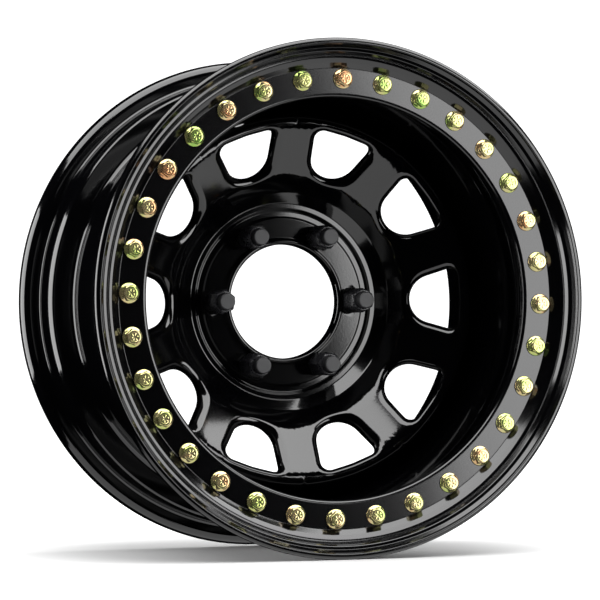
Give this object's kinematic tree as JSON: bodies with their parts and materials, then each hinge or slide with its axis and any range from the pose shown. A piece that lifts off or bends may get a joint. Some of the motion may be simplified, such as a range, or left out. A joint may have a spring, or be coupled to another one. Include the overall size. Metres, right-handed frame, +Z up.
{
  "type": "beadlock wheel",
  "caption": "Steel beadlock wheel: a dished disc with D windows in a rolled barrel, a bolted clamp ring round its rim, and lug studs with hex nuts.",
  "frame": {"origin": "centre of the hub bore, where the axle crosses the plane of the face that sits against the hub", "axes": "+Y along the axle towards the vehicle, so the clamp ring faces -Y; +Z up; +X to the right seen from the front"},
  "size_m": [0.4749, 0.2599, 0.475],
  "materials": {
    "rim_paint": "gloss black paint over rolled steel",
    "disc_paint": "gloss black paint over pressed steel",
    "ring_paint": "gloss black powder coat over steel",
    "yellow_zinc": "yellow zinc plate, faintly iridescent",
    "stud_steel": "dark oxide, with turned ends",
    "nut_steel": "black oxide, satin"
  },
  "bodies": {
    "root": {"rim_barrel": "rim_paint", "centre_disc": "disc_paint", "inner_ring": "rim_paint", "clamp_ring": "ring_paint", "clamp_bolts": "yellow_zinc", "clamp_nuts": "yellow_zinc", "lug_studs": "stud_steel", "lug_nuts": "nut_steel"}
  },
  "joints": []
}
